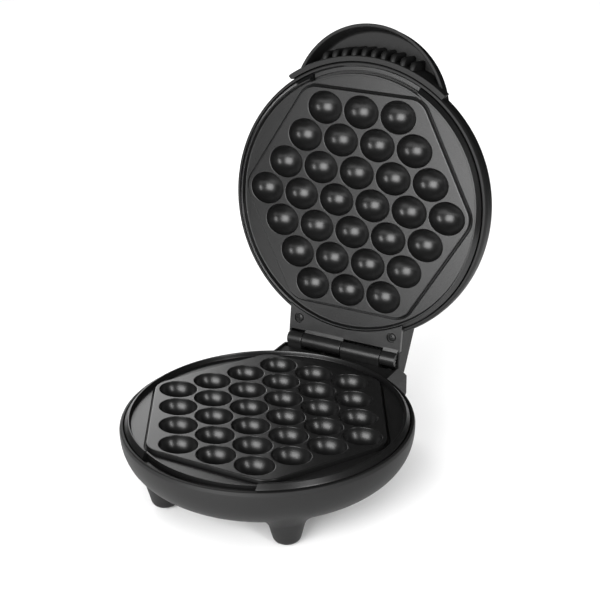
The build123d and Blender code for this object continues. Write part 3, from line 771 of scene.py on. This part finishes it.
def hood_arc(level, inset, stop, count):
    """The part of the hood circle that lies outside the circle of radius stop about the seat."""
    radius, centre = hood_circle(level, inset)
    y = (stop**2 - radius**2 + centre**2) / (2 * centre)
    start = math.atan2(y - centre, math.sqrt(stop**2 - y**2))
    arc = ring(radius, level, count, start, math.pi - start, loop=False)
    return arc + np.array((0, centre, 0))


def shell_arc(points, radius, level):
    """Points on a circle about the seat, in the directions of the ends of a row of points."""
    first, last = points[0], points[-1]
    start, end = (math.atan2(p[1], p[0]) for p in (first, last))
    return ring(radius, level, len(points), start, end, loop=False)


print("hood radius", hood_circle(hood_front)[0], "to", hood_circle(hood_back)[0])

# %% [markdown]
# ## Finger ribs
# Ten ribs give the fingers a hold. Each rises from the band in a quarter curve and runs back to the scoop's
# floor. A rib could be a bent plate with a bevel. Here its round-topped section is carried along the curve
# and kept square to it, so the ridge has the same radius all the way.

# %% Rib
rib_count, rib_pitch = 10, 7.9


def rib(x, thickness=4.3, height=5.7, edge=1.8):
    """One finger rib, x millimetres from the handle's middle."""
    foot = math.sqrt(scoop_radius**2 - x * x)
    crest = bend((foot - 0.2, -3.6), (foot + height, -4.5), (foot + height, -9.6), 12)
    crest = np.array(crest + [(foot + height, pocket_floor - 0.4)])
    along = np.gradient(crest, axis=0)
    inward = np.stack([along[:, 1], -along[:, 0]], 1) / np.linalg.norm(along, axis=1)[:, None]
    turns = np.linspace(0, math.pi / 2, 6)
    ridge = [(edge * (1 - math.cos(t)) - thickness / 2, edge * (1 - math.sin(t))) for t in turns]
    ridge += [(-off, drop) for off, drop in reversed(ridge)]
    stations = []
    for spot, dive in zip(crest, inward):
        loop = [(x + off, *(spot + dive * drop)) for off, drop in ridge]
        deep = [(loop[i][0], foot - 1.5, loop[i][2]) for i in (-1, 0)]
        stations.append(loop + deep)
    return Sheet().grid(stations).flat(stations[0]).flat(stations[-1])


print("ribs", rib_count, "every", rib_pitch, "mm")

# %% [markdown]
# ## Handle in one piece
# Hood and scoop are two closed skins, and one exact boolean takes the scoop from the hood. The band along
# the shell's edge and the ribs could be joined by booleans too, but they end inside the hood, where nobody
# sees it. So they are only gathered.

# %% Handle
def lid_handle(material):
    count = 241
    edge, heel, lip_round, floor_round = 0.9, 5, 0.7, 1.8
    turns = np.linspace(0, math.pi / 2, 6)
    steps = [(hood_front - edge + edge * math.cos(t), edge - edge * math.sin(t)) for t in turns]
    steps += [(level, 0) for level in np.linspace(hood_front - 2, hood_back + heel, 8)[1:]]
    for t in np.linspace(0, math.pi / 2, 9)[1:]:
        steps.append((hood_back + heel - heel * math.sin(t), heel - heel * math.cos(t)))
    outside = [hood_arc(level, inset, shell_reach(level), count) for level, inset in steps]
    seat_rows = [shell_arc(row, shell_reach(row[0][2]), row[0][2]) for row in outside]
    hood = Sheet().grid(outside, loop=False).grid(seat_rows, loop=False)
    hood.grid([outside[0], seat_rows[0]], loop=False).grid([outside[-1], seat_rows[-1]], loop=False)
    rim_level, rim_wall = hood_front - lip_round, wall - lip_round
    foot, foot_wall = pocket_floor + floor_round, wall + floor_round
    mouth = [(hood_front + 3, rim_wall), (hood_front + 0.01, rim_wall)]
    mouth += [(rim_level + lip_round * math.cos(t), rim_wall + lip_round * math.sin(t)) for t in turns[1:]]
    mouth += [(level, wall) for level in np.linspace(hood_front - 2, foot, 7)]
    mouth += [(foot - floor_round * math.sin(t), foot_wall - floor_round * math.cos(t)) for t in turns[1:]]
    far = [hood_arc(level, inset, scoop_radius, count) for level, inset in mouth]
    near = [shell_arc(row, scoop_radius, row[0][2]) for row in far]
    pocket = Sheet().grid(far, loop=False).grid(near, loop=False)
    pocket.grid([far[0], near[0]], loop=False).grid([far[-1], near[-1]], loop=False)
    handle = carve(hood.body(upper), "DIFFERENCE", pocket.body(upper))
    band = Sheet()
    tip = lambda r: math.radians(53.5) + 0.012 * ((r - 106.15) / 2) ** 4
    band_inner, band_top, band_foot = 104.15, -2.6, -11.6
    section = [(band_inner, band_foot), (band_inner, -3)]
    section += bend((band_inner, -2.9), (band_inner, band_top), (104.5, band_top), 3)
    section += bend((107.3, band_top), (scoop_radius, band_top), (scoop_radius, -3.5), 5)
    section += [(scoop_radius, band_foot), (band_inner, band_foot)]
    stretch(band, section, tip, lambda r: math.pi - tip(r), 240)
    ribs = [rib((place - (rib_count - 1) / 2) * rib_pitch).body(upper) for place in range(rib_count)]
    gather(handle, band.body(upper), *ribs)
    return dress(handle, "scoop_handle", "lid", material, ["lid_handle"])


print("handle wall", wall, "thick, scoop", round(hood_front - pocket_floor, 1), "deep")

# %% [markdown]
# ## Hinge barrels, leaf and bracket
# Four satin barrels turn on one steel pin, two on the bracket of the base and two on the leaf that is
# screwed to the lid, so they alternate. A barrel could be a cylinder with a bevel. It is turned from a
# profile here, so that its bore is open and its ends have the radius that makes the dark splits.

# %% Barrel
barrel_radius, barrel_round = 5.5, 0.6
leaf_barrels, leaf_bore = ((-33.35, -0.15), (33.65, 46)), 2.56
bracket_barrels, bracket_bore = ((-46, -33.65), (0.15, 33.35)), 2.52


def barrel(side, left, right, bore):
    """A turned barrel along the pin between two places."""
    inward, full = barrel_radius - barrel_round, barrel_radius
    profile = [(bore, left + 0.2), (bore + 0.2, left), (inward, left)]
    profile += bend((inward, left), (full, left), (full, left + barrel_round))
    profile += bend((full, right - barrel_round), (full, right), (inward, right))
    profile += [(bore + 0.2, right), (bore, right - 0.2), (bore, left + 0.2)]
    rows = [ring(r, x, 64)[:, (2, 0, 1)] for r, x in profile]
    return Sheet().grid(rows).body(side)


print("barrels", len(leaf_barrels) + len(bracket_barrels), "of radius", barrel_radius)

# %% Hinge leaf
screw_x, screw_y = 39.6, -97.4
recess, recess_floor, leaf_hole = 4, -1.6, 1.8


def hinge_leaf(material):
    radius, half = 98.6, 47.5
    edge = ring(radius, 0, 61, -math.acos(half / radius), -math.acos(-half / radius), loop=False)
    far, near = -107.4, -106.5
    back = [(-half, far), (-46.1, far), (-46.1, near), (-33.35, near), (-33.35, far)]
    back += [(-0.15, far), (-0.15, near), (33.65, near), (33.65, far), (half, far)]
    leaf = prism(edge[:, :2].tolist() + back, -3.2, 0, "z").body(upper)
    for x in (-screw_x, screw_x):
        carve(leaf, "DIFFERENCE", drilled((x, screw_y), recess, recess_floor, 1).body(upper))
        carve(leaf, "DIFFERENCE", drilled((x, screw_y), leaf_hole, -4, 1).body(upper))
    soften(leaf, 0.35)
    web = [(-8, 0.8), (-8, 4), (-6.1, 4), (-2, 5), (0, 0), (-5.3, 0)]
    for left, right in leaf_barrels:
        stem = prism(web, left + 0.1, right - 0.1).body(lid_side)
        gather(leaf, stem, barrel(lid_side, left, right, leaf_bore))
    return dress(leaf, "hinge_leaf", "lid", material, ["lid_hinge_leaf"])


print("leaf screws", 2 * screw_x, "apart")

# %% Hinge bracket
def hinge_bracket(material):
    floor, foot_top = bracket_floor, bracket_floor + 3
    foot = prism([(-6, floor), (2, floor), (2, foot_top), (-6, foot_top)], -45.9, 45.9)
    bracket = soften(foot.body(base_side), 0.5)
    web = [(-5, floor + 1), (2, floor + 1), (2, -3), (3.5, 0), (-5.2, 0)]
    for left, right in bracket_barrels:
        stem = soften(prism(web, left + 0.3, right - 0.3).body(base_side), 0.4)
        gather(bracket, stem, barrel(base_side, left, right, bracket_bore))
    return dress(bracket, "hinge_bracket", "base", material, ["base_hinge_bracket"])


print("bracket foot", bracket_floor, "to", bracket_floor + 3, "from the pin")

# %% [markdown]
# ## Screws of the leaf
# Two cross-head screws sit in round recesses of the leaf. A thread would never show, so the screw is a
# shank and a low domed head in one turned profile. The cross could be painted on, but then it would not
# catch the light. Two crossed slots are cut, deep enough to stay dark.

# %% Leaf screws
cross = (1.9, 0.42)


def leaf_screw(name, x, material, node):
    shank = [(0, -11.5), (1.5, -11.5), (1.5, -1.6), (2.9, -1.6)]
    head = bend((3.1, -1.4), (3.1, -0.35), (0, -0.2), 10)
    screw = turned(shank + head, 48, (x, screw_y)).body(upper)
    for wide, deep in (cross, cross[::-1]):
        corners = ((-wide, -deep), (wide, -deep), (wide, deep), (-wide, deep))
        slot = [(x + across, screw_y + along) for across, along in corners]
        carve(screw, "DIFFERENCE", prism(slot, -1.2, 1, "z").body(upper))
    return dress(screw, name, "lid", material, [node])


print("cross", 2 * cross[0], "by", 2 * cross[1])

# %% [markdown]
# ## Shader arithmetic
# Each finish is a formula over the surface. Nodes can be placed and linked one by one, but then the formula
# is hard to see. `Wire` wraps one socket: arithmetic on it adds Math nodes, and `node` adds any other node,
# so that a finish reads like the formula that it is.

# %% Wire
class Wire:
    def __init__(self, tree, socket):
        self.tree = tree
        self.socket = socket

    def node(self, kind, settings, values, result=0):
        made = self.tree.nodes.new("ShaderNode" + kind)
        for setting, choice in settings.items():
            setattr(made, setting, choice)
        for slot, value in values.items():
            if isinstance(value, Wire):
                self.tree.links.new(value.socket, made.inputs[slot])
            else:
                made.inputs[slot].default_value = value
        return Wire(self.tree, made.outputs[result])

    def math(self, operation, first, second):
        return self.node("Math", {"operation": operation}, {0: first, 1: second})

    def __add__(self, other):
        return self.math("ADD", self, other)

    def __sub__(self, other):
        return self.math("SUBTRACT", self, other)

    def __rsub__(self, other):
        return self.math("SUBTRACT", other, self)

    def __mul__(self, other):
        return self.math("MULTIPLY", self, other)

    __radd__ = __add__
    __rmul__ = __mul__

    def noise(self, scale, detail=2.0):
        return self.node("TexNoise", {}, {"Vector": self, "Scale": scale, "Detail": detail})

    def longer(self, x, y, z):
        return self.node("VectorMath", {"operation": "MULTIPLY"}, {0: self, 1: (x, y, z)})

    def over(self, low, high):
        """0 below low, 1 above high, smooth between."""
        limits = {"Value": self, "From Min": low, "From Max": high}
        return self.node("MapRange", {"interpolation_type": "SMOOTHSTEP"}, limits)

    def blend(self, dark, light):
        """A grey or colour between two, chosen by this value."""
        ends = [(*c, 1) if isinstance(c, tuple) else (c, c, c, 1) for c in (dark, light)]
        return self.node("Mix", {"data_type": "RGBA"}, {0: self, 6: ends[0], 7: ends[1]}, 2)

    def bump(self, depth, strength):
        return self.node("Bump", {}, {"Height": self, "Distance": depth, "Strength": strength})


print("shader helpers", [name for name in vars(Wire) if name[0] != "_"])

# %% [markdown]
# ## From recipe to material
# A finish is written as a recipe: a function from a place on the surface to the inputs that vary there.
# Each material could repeat the steps that turn it into nodes. One function does it for all of them, and
# sets the inputs that don't vary on the shader itself.

# %% Finish
def finish(name, recipe, **constants):
    """A material whose varying inputs come from recipe(place); constants are set on the shader."""
    material = bpy.data.materials.new(name)
    material.use_nodes = True
    tree = material.node_tree
    shader = tree.nodes["Principled BSDF"]
    for slot, value in constants.items():
        shader.inputs[slot.replace("_", " ")].default_value = value
    place = Wire(tree, None).node("TexCoord", {}, {}, "Object")
    for slot, wire in recipe(place).items():
        tree.links.new(wire.socket, shader.inputs[slot])
    print(name, len(tree.nodes), "nodes")
    return material


# %% [markdown]
# ## Moulded plastic
# The shells and the handle are heat-proof plastic from a spark-eroded mould. It has a dense, shallow grain
# of about half a millimetre that scatters light, and flow in the mould leaves faint broad changes in sheen.
# An image could carry the grain, but it would have to be unwrapped onto every bowl. Noise in object space
# has no seams. The barrels come from a smoother mould and keep a satin sheen.

# %% Plastic finishes
def grained(place):
    grain = place.noise(1500, 3)
    flow = place.noise(9, 2)
    return {
        "Base Color": (flow * 0.6 + grain * 0.4).blend(0.004, 0.009),
        "Roughness": 0.44 + grain * 0.12 + flow * 0.08,
        "Normal": grain.bump(0.00006, 0.5),
    }


def moulded_satin(place):
    wear = place.noise(160, 4)
    fine = place.noise(2400, 2)
    return {
        "Base Color": wear.blend(0.005, 0.011),
        "Roughness": 0.24 + wear * 0.14,
        "Normal": (wear * 0.5 + fine * 0.5).bump(0.00002, 0.4),
    }


housing_plastic = finish("housing_plastic", grained, Specular_IOR_Level=0.28)
barrel_plastic = finish("barrel_plastic", moulded_satin)

# %% [markdown]
# ## Non-stick coating
# The plates are cast aluminium under a sprayed coating. Spray settles in a fine orange peel, and the
# coating holds mineral flecks that are a little lighter and smoother than the rest. Flecks could be
# scattered as small faces, but they are finer than a pixel. A threshold on a fine noise picks them instead.

# %% Coating
def sprayed(place):
    peel = place.noise(420, 2)
    specks = place.noise(2900, 1).over(0.62, 0.72)
    clouds = place.noise(14, 3)
    return {
        "Base Color": (specks * 0.7 + clouds * 0.3).blend(0.003, 0.014),
        "Roughness": 0.28 + clouds * 0.08 - specks * 0.08,
        "Normal": (peel + specks * 0.3).bump(0.00003, 0.35),
    }


coating = finish("nonstick_coating", sprayed)

# %% [markdown]
# ## Metals
# Screws, pin, elements and reflectors differ in how they were made: blackened in a bath, plated, ground
# round, heated dull brown and grey in use, or rolled. Rolled and ground metal carries fine lines. An
# anisotropic shader could draw them, but few viewers know it. Noise that is stretched one way draws them in
# colour, roughness and bumps instead.

# %% Screws and pin
def blackened(place):
    bath = place.noise(380, 4)
    return {
        "Base Color": bath.blend(0.010, 0.034),
        "Roughness": 0.34 + bath * 0.2,
        "Normal": bath.bump(0.00002, 0.4),
    }


def plated(place):
    frost = place.noise(700, 4)
    return {
        "Base Color": frost.blend((0.42, 0.43, 0.44), (0.62, 0.62, 0.60)),
        "Roughness": 0.26 + frost * 0.16,
        "Normal": frost.bump(0.00001, 0.4),
    }


def ground(place):
    lines = place.longer(6000, 300, 300).noise(1, 2)
    return {
        "Base Color": lines.blend(0.50, 0.66),
        "Roughness": 0.16 + lines * 0.14,
        "Normal": lines.bump(0.000008, 0.5),
    }


black_oxide = finish("black_oxide", blackened, Metallic=0.7)
zinc_plate = finish("zinc_plate", plated, Metallic=1.0)
ground_steel = finish("ground_steel", ground, Metallic=1.0)

# %% Elements and reflectors
def heated(place):
    oxide = place.noise(120, 5)
    return {
        "Base Color": oxide.blend((0.16, 0.14, 0.12), (0.34, 0.33, 0.33)),
        "Roughness": 0.40 + oxide * 0.22,
        "Normal": place.noise(1600, 2).bump(0.00002, 0.5),
    }


def rolled(place):
    lines = place.longer(90, 3200, 3200).noise(1, 3)
    stain = place.noise(26, 3)
    return {
        "Base Color": (lines * 0.5 + stain * 0.5).blend((0.58, 0.59, 0.60), (0.80, 0.80, 0.79)),
        "Roughness": 0.22 + lines * 0.16,
        "Normal": lines.bump(0.00001, 0.5),
    }


element_sheath = finish("element_sheath", heated, Metallic=0.8)
mill_aluminium = finish("mill_aluminium", rolled, Metallic=1.0)

# %% [markdown]
# ## Rubber and ceramic
# The pads and the gland are matt rubber with a dusty bloom, and the inner insulators are unglazed ceramic
# with darker grains. One flat colour each would do at this size, but it looks like plastic when it is seen
# close up. A soft noise in colour and roughness makes the bloom, and a threshold on it makes the grains.

# %% Rubber and ceramic
def bloomed(place):
    bloom = place.noise(240, 4)
    return {
        "Base Color": bloom.blend(0.014, 0.030),
        "Roughness": 0.66 + bloom * 0.2,
        "Normal": place.noise(1900, 3).bump(0.00004, 0.6),
    }


def unglazed(place):
    grains = place.noise(900, 3)
    return {
        "Base Color": grains.over(0.3, 0.7).blend((0.62, 0.59, 0.52), (0.80, 0.78, 0.72)),
        "Roughness": 0.55 + grains * 0.2,
        "Normal": grains.bump(0.00004, 0.5),
    }


rubber = finish("rubber", bloomed)
ceramic = finish("ceramic", unglazed)

# %% [markdown]
# ## Lamp lenses
# The two lenses are tinted plastic, red for power and green for ready. They could be glass that lets light
# through, but with no lamp lit behind them a deep colour under a clear coat looks the same in every viewer.

# %% Lenses
def tinted(deep, clear):
    """The recipe for a lens between two depths of its colour."""
    def recipe(place):
        melt = place.noise(300, 2)
        return {
            "Base Color": melt.blend(deep, clear),
            "Roughness": 0.10 + melt * 0.08,
            "Normal": place.noise(800, 1).bump(0.00001, 0.3),
        }

    return recipe


red_lens = finish("red_lens", tinted((0.30, 0.010, 0.006), (0.55, 0.020, 0.012)), Coat_Weight=0.6)
green_lens = finish("green_lens", tinted((0.010, 0.20, 0.030), (0.020, 0.42, 0.060)), Coat_Weight=0.6)

# %% [markdown]
# ## Pieces and carried-over parts
# Nine shapes take the place of their solids. The others could be modelled again too, but most of them sit
# inside, where detail never shows. They keep their solids and get a finish, listed by material.

# %% Make the pieces
cooking_plate("lower_plate", lower, "base", coating, "lower_cooking_plate", None)
cooking_plate("upper_plate", upper, "lid", coating, "upper_cooking_plate", notched_ring)
lower_housing(housing_plastic)
upper_housing(housing_plastic)
lid_handle(housing_plastic)
hinge_leaf(barrel_plastic)
hinge_bracket(barrel_plastic)
leaf_screw("leaf_screw_left", -screw_x, black_oxide, "lid_hinge_screw_left")
leaf_screw("leaf_screw_right", screw_x, black_oxide, "lid_hinge_screw_right")

pads = [name for name in nodes if name.startswith("foot_pad")]
carried = [
    (element_sheath, ["lower_heating_element", "upper_heating_element"]),
    (mill_aluminium, ["lower_heat_reflector", "upper_heat_reflector"]),
    (zinc_plate, ["lower_plate_screws", "upper_plate_screws", "base_hinge_screws", "thermal_fuse"]),
    (ground_steel, ["hinge_pin"]),
    (ceramic, ["thermostat", "terminal_block", "lamp_holder"]),
    (rubber, ["cord_inlet_gland", *pads]),
    (red_lens, ["power_lamp_lens"]),
    (green_lens, ["ready_lamp_lens"]),
]
for material, names in carried:
    for name in names:
        nodes[name].data.materials.clear()
        nodes[name].data.materials.append(material)
print("carried over", sum(len(names) for _, names in carried), "of", len(nodes))

# %% [markdown]
# ## Table and room floor
# A product picture stands on a white table that runs out into the room. One wide curved backdrop could do
# that, but every cavity would mirror it. Here a small board takes the shadow and the reflections close by,
# and a wide one just under it fills the view but is hidden from glossy rays.

# %% Floor
def painted(place):
    return {"Base Color": place.noise(3, 2).blend(0.90, 0.93), "Roughness": 0.7 + place.noise(40, 2) * 0.1}


floor_paint = finish("floor_paint", painted)


def level_board(name, half, level):
    """A square board that belongs to the stage, not to the object."""
    board = bpy.data.meshes.new(name)
    corners = [(-half, -half, level), (half, -half, level), (half, half, level), (-half, half, level)]
    board.from_pydata(corners, [], [(0, 1, 2, 3)])
    thing = bpy.data.objects.new(name, board)
    board.materials.append(floor_paint)
    bpy.context.collection.objects.link(thing)
    print(name, 2 * half, "m wide")
    return thing


level_board("table_top", 0.55, 0)
level_board("room_floor", 6, -0.0005).visible_glossy = False

# Both boxes are measured and written down, so that they can be compared outside this script.
